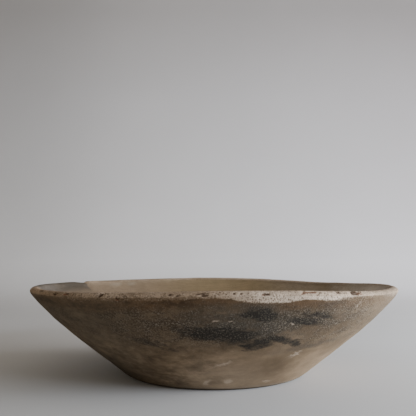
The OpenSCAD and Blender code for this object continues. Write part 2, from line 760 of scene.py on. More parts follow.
@dataclass(frozen=True)
class Texture:
    """The places and the noise that the layers of the finish share; the noise runs from 0 to 1.

    Attributes:
        graph: The material's graph.
        place: The place on the bowl, in millimetres.
        x: How far right of the middle that is.
        y: How far behind the middle it is.
        z: How high above the table it is.
        grain: The wood's grain, along X.
        strokes: Faint marks that run round the bowl.
        scrub: Crossing scratches that climb the wall both ways.
        blotches: Slow changes of tone.
        patches: Ragged patches.
        mottle: Smaller patches.
        grit: Fine grit.
        sand: Scattered single specks, 1 in their middles.
    """

    graph: Graph
    place: Value
    x: Value
    y: Value
    z: Value
    grain: Value
    strokes: Value
    scrub: Value
    blotches: Value
    patches: Value
    mottle: Value
    grit: Value
    sand: Value

    @classmethod
    def on(cls, graph: Graph) -> "Texture":
        """Add the noise to a graph.

        Args:
            graph: The material's graph.

        Returns:
            The noise.
        """
        place = graph.place()
        x, y, z = graph.parts(place)
        scratches = []
        for climb in SCRATCH_CLIMBS:
            turned = {"Vector": place, "Rotation": (0.0, math.radians(climb), 0.0)}
            along = graph.scaled(graph.node("ShaderNodeMapping", {}, turned), (0.14, 0.5, 1.0))
            scratches.append(graph.cloud(along, 2.8, 4.0, 0.7).between(*MID_TONES))
        return cls(
            graph=graph,
            place=place,
            x=x,
            y=y,
            z=z,
            grain=graph.cloud(graph.scaled(place, (0.05, 1.0, 1.0)), 2.4, 4.0, 0.6),
            strokes=graph.cloud(graph.scaled(place, (0.11, 0.11, 1.0)), 4.2, 4.0, 0.6),
            scrub=(scratches[0] + scratches[1]) / len(scratches),
            blotches=graph.cloud(place, 34.0, 4.0, 0.6),
            patches=graph.cloud(graph.scaled(place, (0.55, 0.55, 1.2)), 13.0, 5.0, 0.66),
            mottle=graph.cloud(graph.scaled(place, (0.6, 0.6, 1.0)), 6.0, 4.0, 0.7),
            grit=graph.cloud(place, 1.3, 2.0, 0.8),
            sand=graph.dots(place, 1.9).between(0.46, 0.12),
        )

    def warped(self, grain: float, push: tuple[float, float, float]) -> Value:
        """Push the place about with noise, so that marks laid out on it have ragged edges.

        Args:
            grain: Size of the noise's largest features in millimetres.
            push: How far it pushes along each axis, in millimetres.

        Returns:
            The pushed place.
        """
        stretched = self.graph.scaled(self.place, (0.45, 0.45, 1.0))
        colours = self.graph.cloud(stretched, grain, 5.0, 0.68, "Color")
        centred = self.graph.vector_math("SUBTRACT", colours, (0.5, 0.5, 0.5))
        return self.graph.vector_math("MULTIPLY_ADD", centred, push, self.place)

    def covered(self, place: Value, marks: Iterable[Smudge]) -> Value:
        """Lay marks out on the bowl.

        Args:
            place: The place in millimetres, warped where the marks have ragged outlines.
            marks: The marks.

        Returns:
            How much they cover, from 0 to 1.
        """
        covers = []
        for mark in marks:
            sockets: Sockets = {
                "Vector": place,
                "Location": (mark.x, mark.y, mark.z),
                "Rotation": (0.0, math.radians(-mark.tilt), 0.0),
                "Scale": (mark.long, mark.deep, mark.high),
            }
            local = self.graph.node("ShaderNodeMapping", {"vector_type": "TEXTURE"}, sockets)
            away = self.graph.vector_math("LENGTH", local, output="Value")
            covers.append(away.between(*MARK_FADE) * mark.strength)
        return functools.reduce(Value.most, covers)


@dataclass(frozen=True)
class CarvedWood:
    """The bowl's finish: dry wood, darkened by hands and smoke, dusty, and rubbed at its edges, with some
    light and shade painted in.

    The colours come first, then how much each layer covers at most, then where it lies, as
    pairs of places between which it sets in, in millimetres, then the marks.

    Attributes:
        tan: Bare wood.
        tan_dark: Its darker patches.
        tan_pale: Wood worn pale above the foot.
        umber: Old dirt, and the painted contact shade under the foot.
        crust: Old dirt at its thickest.
        rust: Red-brown dirt under the band.
        dust: Dust that the rough wood holds.
        film: A dull film of dust on the far left.
        soot: Smears of smoke.
        ash: The haze round them.
        band_brown: The band on the left.
        band_pale: The band's far right end.
        pale_wear_and_light: The band rubbed pale and partly painted light from the right, scuffs, and the
            crest's painted highlight.
        inside: The hollow.
        inside_dull: Its left end.
        inside_grey: Its right side.
        inside_pale: Its pale right tip, worn wood and partly painted light from above.
        stain: The stain inside the left of the rim.
        stain_pale: The stain's front end.
        torn: Old broken wood in the chips.
        torn_fresh: Newer broken wood.
        rust_cover: Cover of the dirt under the band.
        crust_cover: Cover of the thickest dirt.
        film_cover: Cover of the film of dust.
        soot_cover: Cover of the smears.
        grit_cover: Cover of the pale grit.
        sand_cover: Cover of the pale specks.
        grime_cover: Cover of the dark grit.
        scuff_cover: Cover of the pale scuffs.
        scratch_cover: Cover of the dark scratches.
        stain_cover: Cover of the stain.
        torn_cover: Cover of the broken wood.
        rough_heights: Heights at which the wall turns rough and holds dirt.
        crust_heights: Heights at which it holds crusts.
        grit_heights: Heights at which it holds grit.
        dirty_x: X at which the dirt is at its full strength.
        clean_x: X at which the right end's dirt gets thinner.
        calm_x: X at which the wall's tone gets calmer.
        film_x: X at which the film of dust sets in.
        worn_lit_band_x: X at which the band turns pale, rubbed and partly painted light.
        band_pale_x: X at which its pale end sets in.
        grimy_x: X at which the band's lower edge gets grimy.
        stain_reach: Distances from the stain's middle at which it sets in.
        stain_heights: Heights at which it does.
        soot_marks: The dark smears of the front.
        haze_marks: The broad grey haze round them.
        wear_mark: Where the wall is worn pale above the foot.
        pale_marks: The pale scuffs of the front.
        back_marks: The pale scuffs at the back left of the rim, inside and out.
        scratch_marks: The dark tool scratches low on the front.
        stain_middle: The middle of the stain, in millimetres.
        rough: The roughness of the outside wall.
        polish: How much smoother the hollow is.
        grain_depth: Depth of the grain and the strokes, in millimetres.
        grit_depth: Depth of the grit and the pits, in millimetres.
        shine: The strength of the shine.
    """

    tan: Colour = (0.225, 0.163, 0.104)
    tan_dark: Colour = (0.150, 0.107, 0.066)
    tan_pale: Colour = (0.29, 0.22, 0.15)
    umber: Colour = (0.062, 0.043, 0.026)
    crust: Colour = (0.034, 0.025, 0.018)
    rust: Colour = (0.112, 0.068, 0.036)
    dust: Colour = (0.25, 0.21, 0.16)
    film: Colour = (0.135, 0.122, 0.092)
    soot: Colour = (0.0225, 0.0205, 0.0178)
    ash: Colour = (0.066, 0.058, 0.047)
    band_brown: Colour = (0.275, 0.200, 0.134)
    band_pale: Colour = (0.275, 0.220, 0.165)
    pale_wear_and_light: Colour = (0.56, 0.455, 0.355)
    inside: Colour = (0.222, 0.163, 0.092)
    inside_dull: Colour = (0.155, 0.112, 0.073)
    inside_grey: Colour = (0.265, 0.218, 0.165)
    inside_pale: Colour = (0.50, 0.45, 0.405)
    stain: Colour = (0.057, 0.046, 0.034)
    stain_pale: Colour = (0.096, 0.081, 0.066)
    torn: Colour = (0.048, 0.027, 0.016)
    torn_fresh: Colour = (0.17, 0.075, 0.042)
    rust_cover: float = 0.9
    crust_cover: float = 0.5
    film_cover: float = 0.28
    soot_cover: float = 0.93
    grit_cover: float = 0.85
    sand_cover: float = 0.45
    grime_cover: float = 0.8
    scuff_cover: float = 0.55
    scratch_cover: float = 0.6
    stain_cover: float = 0.9
    torn_cover: float = 0.85
    rough_heights: Span = (58.0, 80.0)
    crust_heights: Span = (58.0, 74.0)
    grit_heights: Span = (34.0, 58.0)
    dirty_x: Span = (-110.0, 10.0)
    clean_x: Span = (120.0, 190.0)
    calm_x: Span = (-40.0, 40.0)
    film_x: Span = (-30.0, -90.0)
    worn_lit_band_x: Span = (-5.0, 98.0)
    band_pale_x: Span = (118.0, 150.0)
    grimy_x: Span = (30.0, -40.0)
    stain_reach: Span = (79.0, 76.0)
    stain_heights: Span = (76.0, 86.0)
    soot_marks: tuple[Smudge, ...] = (
        Smudge(2, 57.5, 36, 7.0, 0, 1.0),
        Smudge(12, 54.0, 26, 8.0, -8, 0.9),
        Smudge(30, 47.5, 17, 6.4, 4, 1.0),
        Smudge(48, 52.0, 11, 3.6, -8, 0.95),
        Smudge(60, 47.5, 12, 3.4, -24, 0.9),
        Smudge(34, 72.0, 18, 6.2, -8, 1.0),
        Smudge(70, 65.5, 19, 4.4, -6, 0.85),
        Smudge(82, 70.5, 20, 3.2, -8, 0.75),
        Smudge(-48, 46.5, 23, 5.4, -12, 0.66),
    )
    haze_marks: tuple[Smudge, ...] = (
        Smudge(22, 66, 46, 17, -4, 1.0),
        Smudge(30, 62, 46, 18, -4, 0.45),
        Smudge(88, 70, 26, 12, -4, 0.4),
        Smudge(48, 61, 24, 10, -10, 0.6),
        Smudge(78, 43, 36, 3.4, 8, 0.6),
        Smudge(-40, 60, 40, 14, 0, 0.12),
    )
    wear_mark: Smudge = Smudge(2, 10, 36, 22, 0, 0.95)
    back_marks: tuple[Smudge, ...] = (
        Smudge(-121, 79.5, 7, 2.2, 0, 0.35, 118.0, 30.0),
        Smudge(-104, 79.5, 5, 2.0, 0, 0.3, 134.0, 30.0),
    )
    pale_marks: tuple[Smudge, ...] = (
        Smudge(4, 28, 9, 1.3, 16, 0.75),
        Smudge(10, 31, 4, 1.0, 40, 0.5),
        Smudge(-8, 9, 5, 3.0, 45, 0.7),
        Smudge(10, 10, 5, 2.4, 10, 0.75),
        Smudge(43, 8, 7, 1.6, 0, 0.45),
        Smudge(65, 35, 7, 2.0, 25, 0.7),
        Smudge(112, 76, 6, 2.0, 50, 0.35),
        Smudge(-1, 67.8, 3.0, 0.7, 0, 0.95),
        Smudge(9, 68.2, 2.4, 0.7, 0, 0.8),
        Smudge(58, 64.6, 1.5, 0.9, 0, 1.0),
    )
    scratch_marks: tuple[Smudge, ...] = (
        Smudge(-46, 15.5, 19, 1.1, -2, 0.7),
        Smudge(-66, 18, 9, 1.6, -38, 0.7),
        Smudge(-36, 23, 7, 2.0, 35, 0.5),
        Smudge(-72, 27, 16, 1.4, -20, 0.5),
    )
    stain_middle: tuple[float, float, float] = (-172.0, 20.0, 80.0)
    rough: float = 0.84
    polish: float = 0.2
    grain_depth: float = 0.22
    grit_depth: float = 0.4
    shine: float = 0.14

    def bare_wall(self, texture: Texture) -> Value:
        """Start the wall with bare wood, worn pale above the foot, darker on the left, and with painted
        shade low on the left.

        Args:
            texture: The shared noise.

        Returns:
            The colour.
        """
        graph, x, z = texture.graph, texture.x, texture.z
        wood = graph.mixed(texture.blotches.between(0.34, 0.66), self.tan_dark, self.tan)
        wood = graph.mixed(texture.covered(texture.place, (self.wear_mark,)), wood, self.tan_pale)
        left_half = (x + texture.blotches * 40.0).between(-10.0, -70.0)
        right_of_middle = x.between(12.0, 35.0) * x.between(70.0, 45.0) * z.between(40.0, 20.0)
        # Painted shade: the wall is much darker low on the left near the foot, where it is in shade
        low_left_shade = x.between(-35.0, -80.0) * z.between(34.0, 6.0)
        low_right = x.between(48.0, 75.0) * z.between(60.0, 40.0)
        changes = ((left_half, -0.08), (right_of_middle, -0.14), (low_left_shade, -0.42), (low_right, 0.11))
        for where, change in changes:
            wood = graph.shaded(wood, 1.0 + where * change)
        return wood

    def dirtied(self, texture: Texture, wood: Value, above: Value) -> tuple[Value, Value]:
        """Rub old dirt into the wall's rough upper half, and thick crusts over its mottled tone.

        Args:
            texture: The shared noise.
            wood: The colour so far.
            above: Height above the bevelled band's lower edge, in millimetres.

        Returns:
            The colour, and how much of the red-brown dirt under the band there is.
        """
        graph, z, patches = texture.graph, texture.z, texture.patches
        ragged_x = texture.x + texture.blotches * 50.0 + patches * 20.0
        dirty_side = 1.0 - ragged_x.between(*self.clean_x) * 0.55
        ragged_z = z + patches * 30.0 + texture.blotches * 10.0
        rough_half = ragged_z.between(*self.rough_heights) * dirty_side
        dirt = rough_half * (0.58 + ragged_x.between(*self.dirty_x) * 0.42)
        dirt = dirt * (0.30 + texture.strokes.between(*WIDE_TONES) * 0.2 + texture.scrub * 0.42)
        dirt = dirt + rough_half * (patches.between(0.40, 0.62) - 0.4) * 0.45
        wood = graph.mixed(dirt, wood, self.umber)
        under_band = (above + patches * 12.0 + texture.grit * 3.0).between(-2.5, 4.5) * dirty_side
        wood = graph.mixed(under_band * self.rust_cover, wood, self.rust)
        wood = self.mottled(texture, wood)
        thick = (patches * 0.55 + texture.mottle * 0.45).between(0.50, 0.57)
        thick = thick * (z + patches * 20.0).between(*self.crust_heights) * dirty_side
        return graph.mixed(thick * self.crust_cover, wood, self.crust), under_band

    def mottled(self, texture: Texture, wood: Value) -> Value:
        """Add strokes, crossing scratches and patches of tone, strongest on the rougher side.

        Args:
            texture: The shared noise.
            wood: The colour so far.

        Returns:
            The colour.
        """
        x, z = texture.x, texture.z
        uneven = texture.strokes.between(*WIDE_TONES) * 0.24 + texture.scrub * 0.30
        mottling = (texture.mottle.between(*MID_TONES) - 0.5) * (0.22 + z.between(20.0, 50.0) * 0.28)
        uneven = uneven + texture.patches.between(*MID_TONES) * 0.42 + mottling - 0.45
        calm = x.between(*self.calm_x) * (0.5 + z.between(50.0, 25.0) * 0.3)
        return texture.graph.shaded(wood, 1.05 + uneven * (1.0 - calm))

    def smoked(self, texture: Texture, wood: Value) -> tuple[Value, Value]:
        """Add smoke: a broad grey haze with darker smears in it.

        Args:
            texture: The shared noise.
            wood: The colour so far.

        Returns:
            The colour, and how much soot there is.
        """
        graph, patches = texture.graph, texture.patches
        warped = texture.warped(9.0, (30.0, 0.0, 10.0))
        haze = texture.covered(warped, self.haze_marks) * patches.between(0.28, 0.56)
        wood = graph.mixed(haze, wood, self.ash)
        smears = texture.covered(warped, self.soot_marks)
        soot = (smears + patches + texture.strokes * 0.6 + texture.scrub * 0.4 - 1.0).between(0.22, 0.98)
        return graph.mixed(soot * self.soot_cover, wood, self.soot), soot

    def dusted(self, texture: Texture, wood: Value, soot: Value, under_band: Value) -> Value:
        """Add the dust and grit that the rough half holds.

        Args:
            texture: The shared noise.
            wood: The colour so far.
            soot: How much soot there is.
            under_band: How much of the dirt under the band there is.

        Returns:
            The colour.
        """
        graph, x, z = texture.graph, texture.x, texture.z
        patches, grit, sand = texture.patches, texture.grit, texture.sand
        gritty = z.between(*self.grit_heights) * (0.2 + patches.between(0.42, 0.58) * 0.8)
        gritty = gritty * (1.0 - soot * 0.5) * (1.0 - under_band * 0.6)
        gritty = gritty * (1.0 - x.between(-50.0, -120.0) * 0.6)
        wood = graph.mixed(gritty * grit.between(0.48, 0.68) * self.grit_cover, wood, self.dust)
        wood = graph.mixed(gritty * sand * grit.between(0.4, 0.6) * self.sand_cover, wood, self.dust)
        wood = graph.mixed(gritty * grit.between(0.48, 0.32) * self.grime_cover, wood, self.umber)
        powder = x.between(70.0, 115.0) * (z + patches * 20.0).between(70.0, 92.0)
        powder = powder * (sand * 0.1 + grit.between(0.46, 0.62) * 0.06)
        return graph.mixed(powder, wood, self.pale_wear_and_light)

    def wall(self, texture: Texture, above: Value) -> Value:
        """Build the colour of the outside wall, layer on layer.

        Args:
            texture: The shared noise.
            above: Height above the bevelled band's lower edge, in millimetres.

        Returns:
            The colour.
        """
        graph = texture.graph
        wood, under_band = self.dirtied(texture, self.bare_wall(texture), above)
        filmed = (texture.x + texture.patches * 20.0).between(*self.film_x)
        wood = graph.mixed(filmed * self.film_cover, wood, self.film)
        wood, soot = self.smoked(texture, wood)
        wood = self.dusted(texture, wood, soot, under_band)
        close = texture.warped(3.4, (9.0, 0.0, 7.0))
        scuffed = texture.covered(close, self.pale_marks + self.back_marks)
        scuffed = (scuffed + texture.grit * 0.6 + texture.scrub * 0.5 - 0.6).between(0.1, 0.8)
        wood = graph.mixed(scuffed * self.scuff_cover, wood, self.pale_wear_and_light)
        scratched = texture.covered(close, self.scratch_marks)
        return graph.mixed(scratched * self.scratch_cover, wood, self.umber)

    def rim(self, texture: Texture, above: Value) -> tuple[Value, Value]:
        """Build the colour of the bevelled band and crest.

        Args:
            texture: The shared noise.
            above: Height above the band's lower edge, in millimetres.

        Returns:
            The colour, and where it is pitted.
        """
        graph, x = texture.graph, texture.x
        patches, grit = texture.patches, texture.grit
        ragged_x = x + texture.blotches * 30.0 + patches * 30.0
        # The band turns pale towards the right: rubbed wood, and partly painted light from the right
        base = graph.mixed(ragged_x.between(*self.worn_lit_band_x), self.band_brown, self.pale_wear_and_light)
        base = graph.mixed((ragged_x - above * 3.0).between(*self.band_pale_x), base, self.band_pale)
        crest = (above + patches * 4.0).between(7.2, 8.6) * x.between(30.0, 60.0)
        base = graph.mixed(crest * 0.5, base, self.band_brown)
        # Painted highlight: a thin pale line along the crest on the front left
        bright = (above + patches * 3.0).between(8.0, 8.8)
        bright = bright * x.between(-125.0, -105.0) * x.between(-15.0, -45.0)
        base = graph.mixed(bright * 0.35, base, self.pale_wear_and_light)
        base = graph.shaded(base, 0.30 + patches * 0.7 + texture.strokes * 0.4 + texture.scrub * 0.4)
        base = graph.shaded(base, 1.0 - x.between(-45.0, -80.0) * x.between(-155.0, -120.0) * 0.14)
        base = graph.shaded(base, 1.0 + x.between(-125.0, -155.0) * 0.2)
        grimy = (above + patches * 6.0 - 3.0).between(5.5, 1.0) * x.between(*self.grimy_x)
        base = graph.mixed(grimy * 0.55, base, self.rust)
        base = graph.mixed(grit.between(0.5, 0.34) * 0.7, base, self.umber)
        base = graph.mixed(texture.sand * grit.between(0.42, 0.6) * 0.5, base, self.pale_wear_and_light)
        pits = graph.dots(texture.place, 2.4).between(0.32, 0.18) * patches.between(0.40, 0.52)
        return graph.mixed(pits * 0.75, base, self.rust), pits

    def hollow(self, texture: Texture) -> Value:
        """Build the colour of the hollow, smooth from use.

        Args:
            texture: The shared noise.

        Returns:
            The colour.
        """
        graph, x, z, patches = texture.graph, texture.x, texture.z, texture.patches
        wood = graph.mixed(x.between(-115.0, 5.0), self.inside_dull, self.inside)
        wood = graph.mixed(x.between(45.0, 120.0) * 0.75, wood, self.inside_grey)
        # The hollow's right tip is pale: worn wood, and partly painted light from above
        pale_lit_tip = (x + patches * 50.0).between(152.0, 192.0) * z.between(40.0, 66.0)
        wood = graph.mixed(pale_lit_tip, wood, self.inside_pale)
        worn = texture.blotches.between(*MID_TONES) * 0.16 + texture.grain.between(0.4, 0.6) * 0.12
        wood = graph.shaded(wood, 0.88 + worn)
        floor_dirt = (z + patches * 16.0).between(52.0, 20.0) * (0.3 + patches.between(*MID_TONES) * 0.3)
        wood = graph.mixed(floor_dirt, wood, self.umber)
        scuffed = texture.covered(texture.warped(5.0, (9.0, 0.0, 6.0)), self.back_marks)
        return graph.mixed(scuffed, wood, self.dust)

    def stained(self, texture: Texture, colour: Value) -> Value:
        """Lay the grey stain inside one side of the rim over a colour.

        Args:
            texture: The shared noise.
            colour: The colour to stain.

        Returns:
            The stained colour.
        """
        graph, y, patches = texture.graph, texture.y, texture.patches
        offset = graph.vector_math("DISTANCE", texture.place, self.stain_middle, output="Value")
        cover = (offset + patches * 10.0).between(*self.stain_reach)
        cover = cover * (texture.z + patches * 12.0).between(*self.stain_heights)
        cover = cover * y.between(-60.0, -20.0)
        tip = (y + patches * 40.0).between(70.0, 30.0)
        grey = graph.mixed(tip, self.stain, self.stain_pale)
        grey = graph.shaded(grey, 0.74 + patches.between(0.38, 0.62) * 0.52)
        return graph.mixed(cover * self.stain_cover, colour, grey)

    def broken(self, texture: Texture, colour: Value, hurt: Value) -> Value:
        """Show dark broken wood where the rim is damaged.

        Args:
            texture: The shared noise.
            colour: The colour so far.
            hurt: How damaged the wood is, from 0 to 1.

        Returns:
            The colour.
        """
        x = texture.x
        torn = (hurt + texture.grit * 1.1).between(0.85, 1.15)
        right_chip = x.between(36.0, 44.0) * x.between(92.0, 84.0)
        fresh = texture.patches.between(0.56, 0.64).most(right_chip * 0.7)
        torn_wood = texture.graph.mixed(fresh, self.torn, self.torn_fresh)
        return texture.graph.mixed(torn * self.torn_cover, colour, torn_wood)

    def foot_worn_and_shaded(self, texture: Texture, colour: Value) -> Value:
        """Rub the foot's edge pale and paint dark contact shade under it.

        Args:
            texture: The shared noise.
            colour: The colour so far.

        Returns:
            The colour.
        """
        z = texture.z
        rubbed = (z + texture.patches * 4.0).between(7.0, 4.6) * texture.x.between(-80.0, -10.0)
        colour = texture.graph.mixed(rubbed * 0.4, colour, self.dust)
        # Painted shade: a dark band at the foot's bottom edge stands in for its contact shadow
        under = z.between(2.4, 0.9) * (1.0 - z.between(0.3, 0.0) * 0.6)
        return texture.graph.mixed(under * 0.75, colour, self.umber)

    def material(self) -> bpy.types.Material:
        """Build the finish.

        Returns:
            The material.
        """
        graph = Graph("carved_wood")
        texture = Texture.on(graph)
        x, z, patches, grit = texture.x, texture.z, texture.patches, texture.grit
        above, inner, inward, hurt = (graph.measured(layer.value) for layer in Layer)

        # The band's lower edge is crisp in the middle and nearly worn away at both sides
        rim, pits = self.rim(texture, above)
        right_tip = (x + patches * 30.0).between(100.0, 135.0)
        blended = x.between(-40.0, -100.0).most(right_tip)
        edge = above + patches * 5.0 + grit * 2.4 - 3.9 - blended * 1.6 - right_tip * 1.2
        band = (edge / (1.2 + blended * 4.0)).between(-0.5, 0.7)

        colour = graph.mixed(band, self.wall(texture, above), rim)
        colour = graph.mixed(inner, colour, self.hollow(texture))
        colour = graph.mixed(inward, colour, self.stained(texture, colour))
        colour = self.foot_worn_and_shaded(texture, self.broken(texture, colour, hurt))

        rough = self.rough - inner * self.polish + grit * 0.1
        normal = graph.bumped(texture.grain * 0.5 + texture.strokes * 0.5, self.grain_depth)
        rough_half = 0.25 + z.between(30.0, 55.0) * 0.75
        grit_relief = grit * rough_half * (1.0 - inner * 0.85) - pits * band * 1.2
        normal = graph.bumped(grit_relief, self.grit_depth, normal)
        return graph.finish(colour, rough, normal, self.shine)


@dataclass(frozen=True)
class StudioPaintAndLight:
    """The floor and backdrop's plain pale paint, with the light's falloff painted on: palest where they
    meet, darker up and to the left.

    Attributes:
        unit: The length, in millimetres, that the other lengths are multiples of.
        floor: The floor's tone.
        low: The tone at the foot of the backdrop.
        high: The tone at its top.
        brightening: Between which distances behind the bowl the floor turns paler, as painted light.
        fade_from: The height at which the backdrop starts to turn darker.
        fade_over: The height over which it does.
        fade_power: How early it does: under 1 is earlier, over 1 is later.
        shaded_side: Between which distances left of the bowl the sheet turns darker, as painted shade.
        side_shade: How much darker the painted shade makes it.
        mottle_grain: Size of the paint's slow unevenness, in millimetres.
        mottling: How strong that is.
        rough: Its roughness.
        shine: The strength of its shine.
    """

    unit: float
    floor: Colour = (0.55, 0.55, 0.55)
    low: Colour = (0.883, 0.892, 0.912)
    high: Colour = (0.46, 0.445, 0.44)
    brightening: Span = (2.2, 7.0)
    fade_from: float = 0.5
    fade_over: float = 5.5
    fade_power: float = 0.7
    shaded_side: Span = (1.2, 4.2)
    side_shade: float = 0.15
    mottle_grain: float = 220.0
    mottling: float = 0.06
    rough: float = 0.8
    shine: float = 0.2

    def material(self) -> bpy.types.Material:
        """Build the finish.

        Returns:
            The material.
        """
        graph = Graph("studio_paint_and_light")
        place = graph.place()
        x, y, z = (part / self.unit for part in graph.parts(place))
        # Painted light: the floor pales towards the backdrop, and the backdrop darkens upwards, as the
        # light falls off
        colour = graph.mixed(y.between(*self.brightening), self.floor, self.low)
        height = ((z - self.fade_from) / self.fade_over).most(0.0).least(1.0)
        colour = graph.mixed(height**self.fade_power, colour, self.high)
        mottle = graph.cloud(place, self.mottle_grain, 2.0, 0.5)
        # Painted shade: the sheet darkens towards the left
        tone = 1.0 + (mottle - 0.5) * self.mottling - (-x).between(*self.shaded_side) * self.side_shade
        return graph.finish(graph.shaded(colour, tone), self.rough, None, self.shine)


# ---------------------------------------------------------------------------------------
# The bowl
# ---------------------------------------------------------------------------------------


@dataclass(frozen=True)
class Run:
    """A run of rings within one part of the skin.

    Attributes:
        zone: The part of the skin.
        start: Where the run starts in it, from 0 to 1.
        end: Where the run ends in it. The last ring stops short of it, where the next run starts.
        rings: How many rings it has.
        sectors: How many points each ring has.
    """

    zone: Zone
    start: float
    end: float
    rings: int
    sectors: int

    def shares(self) -> list[float]:
        """Return how far through the part each ring is."""
        return [self.start + (self.end - self.start) * i / self.rings for i in range(self.rings)]


RUNS = (
    Run(Zone.FOOT, 0.06, 0.46, 10, COARSE),
    Run(Zone.FOOT, 0.46, 1.0, 20, MIDDLE),
    Run(Zone.EDGE, 0.0, 1.0, 4, FINE),
    Run(Zone.WALL, 0.0, 1.0, 62, FINE),
    Run(Zone.BAND, 0.0, 1.0, 9, FINE),
    Run(Zone.CREST, 0.0, 1.0, 14, FINE),
    Run(Zone.HOLLOW, 0.0, 0.5, 42, FINE),
    Run(Zone.HOLLOW, 0.5, 0.77, 16, MIDDLE),
    Run(Zone.HOLLOW, 0.77, 0.98, 12, COARSE),
)


@dataclass(frozen=True)
class Skin:
    """The bowl's skin before it is carved. Lengths are in millimetres.

    Attributes:
        points: Its points.
        turn: Each point's angle from +X, in radians.
        zone: The number of the part that it is on.
        share: How far through that part it is, from 0 to 1.
        drop: How far below the crest it is, negative on the inside.
        faces: The faces, as seen from outside the wood.
    """

    points: np.ndarray
    turn: np.ndarray
    zone: np.ndarray
    share: np.ndarray
    drop: np.ndarray
    faces: list[tuple[int, ...]]

    def on(self, zone: Zone) -> np.ndarray:
        """Return which points are on a part."""
        return self.zone == zone.value


@dataclass
class Bowl:
    """The carved bowl, the one piece of the object.

    Attributes:
        form: The smooth form.
        carving: The relief on it.
        damages: The chips, pits and scores of the rim.
        smooth_turn: Between which shares of the crest's turn the hollow's finish takes over.
        stain_turn: Between which shares of it the stain inside the rim sets in.
    """

    form: BowlForm = field(default_factory=BowlForm)
    carving: Carving = field(default_factory=Carving)
    damages: tuple[Damage, ...] = field(default_factory=lambda: known_damage() + Scatter().places())
    smooth_turn: Span = (0.6, 1.0)
    stain_turn: Span = (0.1, 0.4)

    def skin(self) -> Skin:
        """Lay out the rings of the skin and close it in the middle of the foot and the hollow.

        Returns:
            The skin.
        """
        form = self.form
        points, turns, zones, shares, drops = [], [], [], [], []
        starts: list[tuple[int, int]] = []
        total = 0
        for run in RUNS:
            turn = np.linspace(0.0, math.tau, run.sectors, endpoint=False)
            for share in run.shares():
                radius, height = form.section(run.zone, share, turn)
                points.append(np.stack((radius * np.cos(turn), radius * np.sin(turn), height), axis=1))
                inside = run.zone is Zone.HOLLOW or (run.zone is Zone.CREST and share > 0.5)
                drops.append((form.crest(turn) - height) * (-1.0 if inside else 1.0))
                turns.append(turn)
                zones.append(np.full(run.sectors, run.zone.value))
                shares.append(np.full(run.sectors, share))
                starts.append((total, run.sectors))
                total += run.sectors
        points.append(np.array(((0.0, 0.0, 0.0), (0.0, 0.0, form.floor_t))))
        turns.append(np.zeros(2))
        zones.append(np.array((Zone.FOOT.value, Zone.HOLLOW.value)))
        shares.append(np.array((0.0, 1.0)))
        drops.append(np.array((form.crest_z, form.floor_t - form.crest_z)))
        rows = (np.concatenate(row) for row in (points, turns, zones, shares, drops))
        return Skin(*rows, faces=self.faces(starts, total))

    @staticmethod
    def faces(starts: Sequence[tuple[int, int]], foot_mid: int) -> list[tuple[int, ...]]:
        """Join neighbouring rings, halving or doubling the number of points where they differ.

        Args:
            starts: The first point and the number of points of each ring.
            foot_mid: The foot's middle point; the next one is the hollow's.

        Returns:
            The faces, as seen from outside the wood.
        """
        faces: list[tuple[int, ...]] = []
        first, first_count = starts[0]
        last, last_count = starts[-1]
        for j in range(first_count):
            faces.append((foot_mid, first + (j + 1) % first_count, first + j))
        for (low, low_count), (high, high_count) in zip(starts, starts[1:]):
            count = min(low_count, high_count)
            for j in range(count):
                k = (j + 1) % count
                if low_count == high_count:
                    faces.append((low + j, low + k, high + k, high + j))
                elif high_count > low_count:
                    left, mid, right = high + 2 * j, high + 2 * j + 1, high + 2 * k
                    near, far = low + j, low + k
                    faces.extend(((near, mid, left), (near, far, mid), (far, right, mid)))
                else:
                    left, mid, right = low + 2 * j, low + 2 * j + 1, low + 2 * k
                    near, far = high + j, high + k
                    faces.extend(((left, mid, near), (mid, far, near), (mid, right, far)))
        for j in range(last_count):
            faces.append((last + j, last + (j + 1) % last_count, foot_mid + 1))
        return faces

    def relief(self, skin: Skin) -> tuple[np.ndarray, np.ndarray]:
        """Work out how far the carving and damage move each point outwards.

        Args:
            skin: The smooth skin.

        Returns:
            The move in millimetres, and how damaged each point is, from 0 to 1.
        """
        carving, hollow = self.carving, skin.on(Zone.HOLLOW)
        strength = np.where(skin.on(Zone.CREST), carving.crest_share, 1.0)
        strength = np.where(skin.on(Zone.FOOT) | skin.on(Zone.EDGE), 0.0, strength)
        strength *= np.where(hollow, 1.0, eased(skin.points[:, 2], 0.0, carving.foot_fade))
        move = carving.lumps(skin.points) * strength
        move += carving.scoops(skin.points) * strength * np.where(hollow, carving.hollow_scoop, 1.0)
        dish = carving.foot_dish * (1.0 - eased(skin.share, *carving.dish_edge))
        move -= np.where(skin.on(Zone.FOOT), dish, 0.0)
        hurt = np.zeros(len(skin.points))
        for damage in self.damages:
            cut = carving.damage(damage, skin.turn, skin.drop, self.form.rim_r, skin.points)
            move -= cut * damage.deep
            hurt = np.maximum(hurt, cut * (carving.score_dirt if damage.kind is Harm.SCORE else 1.0))
        return move, hurt

    def layers(self, skin: Skin, points: np.ndarray, hurt: np.ndarray) -> dict[Layer, np.ndarray]:
        """Work out the numbers that the finish reads from the mesh.

        Args:
            skin: The smooth skin.
            points: Its points after carving.
            hurt: How damaged each point is, from 0 to 1.

        Returns:
            The numbers of each layer, one for each point.
        """
        hollow, crest = skin.on(Zone.HOLLOW), skin.on(Zone.CREST)
        above = np.where(hollow | crest, self.form.band_h, points[:, 2] - self.form.crease(skin.turn))
        inner, inward = (
            np.where(crest, eased(skin.share, *turned), np.where(hollow, 1.0, 0.0))
            for turned in (self.smooth_turn, self.stain_turn)
        )
        return {Layer.ABOVE: above, Layer.INNER: inner, Layer.INWARD: inward, Layer.HURT: hurt}

